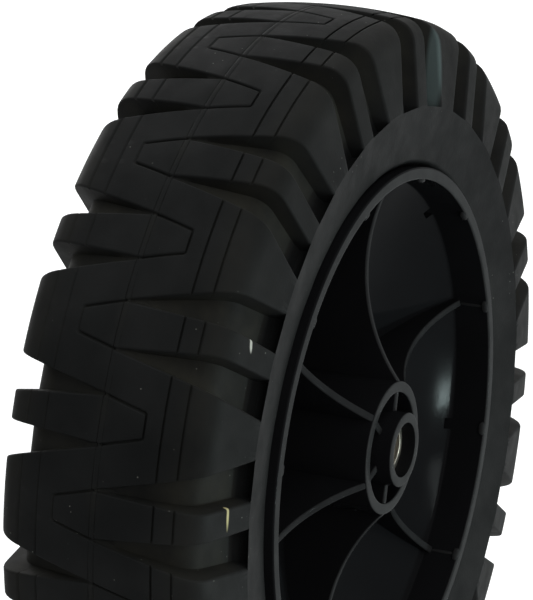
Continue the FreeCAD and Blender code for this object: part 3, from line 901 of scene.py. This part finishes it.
# %% Rim lines
LINE_HEIGHT, LINE_HALF_WIDTH, LINE_OVERLAP, LINE_HIGHLIGHT = 0.22, 0.4, 0.5, 0.5
line_x, line_z = rounded_bar(along, LINE_HEIGHT, LINE_HALF_WIDTH)
line_half = (LIP_LEVEL - NUB_INSET - RIB_RIM_LEVEL) / 2
line_level = (along[:, None] - 1) * line_half - RIB_RIM_LEVEL + LINE_OVERLAP
rim_line = np.stack([RIM_INSIDE + line_x, np.broadcast_to(line_level, line_x.shape), line_z], -1)
line_count = rim_line.shape[0] * rim_line.shape[1]
# Each raised line is painted lighter all over: a painted highlight
add_piece("rim_lines", spread_round(rim_line, rib_angles),
          repeat_faces(closed_tube(*rim_line.shape[:2]), line_count, RIB_COUNT),
          plastic, marks=np.full(line_count * RIB_COUNT, LINE_HIGHLIGHT))

# %% [markdown]
# ## The axle sleeve
# A cut length of steel tube, with its sharp outer edge broken, lines the bore. It is turned like the hub.

# %% Axle sleeve
BORE_RADIUS, SLEEVE_RADIUS = 4.76, 6.31
SLEEVE_ROUNDS = [0.1, 0.25, 0.25, 0.1]
SLEEVE_COLUMN_STEP = 3
SLEEVE_LEVEL = sleeve_high[1] / MM
sleeve_section = rounded([(BORE_RADIUS, -SLEEVE_LEVEL), (SLEEVE_RADIUS, -SLEEVE_LEVEL),
                          (SLEEVE_RADIUS, SLEEVE_LEVEL), (BORE_RADIUS, SLEEVE_LEVEL)], SLEEVE_ROUNDS)
sleeve_angles = hub_angles[None, ::SLEEVE_COLUMN_STEP]
sleeve_points = round_axle(sleeve_section[:, :1], sleeve_section[:, 1:], sleeve_angles)
add_piece("steel_sleeve", sleeve_points, grid_faces(*sleeve_points.shape[:2], True, True),
          steel, "axle_sleeve")

# %% [markdown]
# ## Floor, light and camera
# The wheel stands on a pale floor, which takes its shadow like any matt surface. More lamps could bring the
# open floor up to white, but they would bleach the wheel. So the floor has light of its own, seen only by
# the camera and in reflections.

# %% Floor
FLOOR_HALF = 3.0
FLOOR_COLOUR, FLOOR_LIFT, FLOOR_ROUGHNESS = (0.65, 0.65, 0.65, 1), (0.58, 0.58, 0.58, 1), 0.9


def seen_directly(nodes, links):
    """One for rays from the camera, from mirrors and through glass; nought for rays that only carry light."""
    path = nodes.new("ShaderNodeLightPath")
    total = path.outputs["Is Camera Ray"]
    for name in ("Is Glossy Ray", "Is Transmission Ray"):
        either = nodes.new("ShaderNodeMath")
        either.operation = "MAXIMUM"
        links.new(total, either.inputs[0])
        links.new(path.outputs[name], either.inputs[1])
        total = either.outputs["Value"]
    return total


def make_floor():
    """A wide matt floor under the tyre."""
    low = tyre_low[2]
    corners = [(-FLOOR_HALF, -FLOOR_HALF, low), (FLOOR_HALF, -FLOOR_HALF, low),
               (FLOOR_HALF, FLOOR_HALF, low), (-FLOOR_HALF, FLOOR_HALF, low)]
    mesh = bpy.data.meshes.new("floor")
    mesh.from_pydata(corners, [], [(0, 1, 2, 3)])
    material, nodes, links, shader = new_finish("pale_floor")
    shader.inputs["Base Color"].default_value = FLOOR_COLOUR
    shader.inputs["Roughness"].default_value = FLOOR_ROUGHNESS
    shader.inputs["Emission Color"].default_value = FLOOR_LIFT
    links.new(seen_directly(nodes, links), shader.inputs["Emission Strength"])
    mesh.materials.append(material)
    floor = bpy.data.objects.new("floor", mesh)
    bpy.context.collection.objects.link(floor)
    print("floor at", round(low / MM, 2), "mm")


make_floor()

# %% [markdown]
# The world is a dim, slightly blue light from all round. Like the floor, it is white to the camera and in
# reflections, so the two meet without a horizon.

# %% World
WORLD_COLOUR, WORLD_LEVEL, WHITE = (0.8, 0.9, 1.0, 1), 0.1, (1, 1, 1, 1)


def make_world():
    """Dim light from all round, which the camera and mirrors see as white."""
    world = bpy.data.worlds.new("studio")
    world.use_nodes = True
    bpy.context.scene.world = world
    nodes, links = world.node_tree.nodes, world.node_tree.links
    dim = nodes["Background"]
    dim.inputs["Color"].default_value = WORLD_COLOUR
    dim.inputs["Strength"].default_value = WORLD_LEVEL
    white = nodes.new("ShaderNodeBackground")
    white.inputs["Color"].default_value = WHITE
    mix = nodes.new("ShaderNodeMixShader")
    links.new(seen_directly(nodes, links), mix.inputs["Fac"])
    links.new(dim.outputs["Background"], mix.inputs[1])
    links.new(white.outputs["Background"], mix.inputs[2])
    links.new(mix.outputs["Shader"], nodes["World Output"].inputs["Surface"])
    print("world", world.name)


make_world()

# %% [markdown]
# One broad soft lamp hangs over the wheel. Weaker ones open up the grooves: beside the camera, behind the
# wheel and in front of its dished face, where a small low one makes the bright spot in the bowl.

# %% Lamps


def add_lamp(name, place, aim, size, power, colour=(1, 1, 1)):
    """A flat lamp of a size in metres and a power in watts, turned towards its aim."""
    lamp = bpy.data.lights.new(name, "AREA")
    lamp.shape = "RECTANGLE"
    lamp.size, lamp.size_y = size
    lamp.energy = power
    lamp.color = colour
    item = bpy.data.objects.new(name, lamp)
    item.location = place
    item.rotation_euler = (Vector(aim) - Vector(place)).to_track_quat("-Z", "Y").to_euler()
    bpy.context.collection.objects.link(item)
    print("lamp", name, power, "W")


add_lamp("top_softbox", (0, 0, 1.7), (0, 0, 0), (3.0, 3.0), 44, (0.98, 1.0, 1.0))
add_lamp("camera_softbox", (-0.9, -0.9, 0.55), (0, 0, 0), (0.9, 0.9), 6.8)
add_lamp("rear_softbox", (0.7, 1.1, 0.35), (0, 0, 0), (0.9, 0.6), 6)
add_lamp("front_strip", (0.09, -1.0, 0.08), (0, 0, 0), (0.08, 0.2), 1.7, (0.9, 1.0, 1.0))
add_lamp("low_card", (0.055, -0.33, -0.081), (0.059, -0.014, -0.007), (0.02, 0.024), 0.5, (0.8, 1.0, 1.0))

# %% [markdown]
# The camera's place was found by fitting the circles of the rim, boss and tread to the photograph: it looks
# mostly at the tread, from a little above, with the dished face turned to the right.

# %% Camera
CAMERA_AZIMUTH, CAMERA_ELEVATION, CAMERA_DISTANCE = math.radians(-65.45), math.radians(20.97), 0.6506
CAMERA_AIM = Vector((0.00587, 0.01021, 0.02929))
SENSOR_HEIGHT, LENS = 24.0, 110.97
camera_data = bpy.data.cameras.new("camera")
camera_data.sensor_fit = "VERTICAL"
camera_data.sensor_height = SENSOR_HEIGHT
camera_data.lens = LENS
camera = bpy.data.objects.new("camera", camera_data)
camera.location = CAMERA_DISTANCE * Vector((math.sin(CAMERA_AZIMUTH) * math.cos(CAMERA_ELEVATION),
                                            -math.cos(CAMERA_AZIMUTH) * math.cos(CAMERA_ELEVATION),
                                            math.sin(CAMERA_ELEVATION)))
camera.rotation_euler = (CAMERA_AIM - camera.location).to_track_quat("-Z", "Y").to_euler()
bpy.context.collection.objects.link(camera)
bpy.context.scene.camera = camera
bpy.context.scene.view_settings.view_transform = "Standard"
print("camera at", [round(v, 4) for v in camera.location])
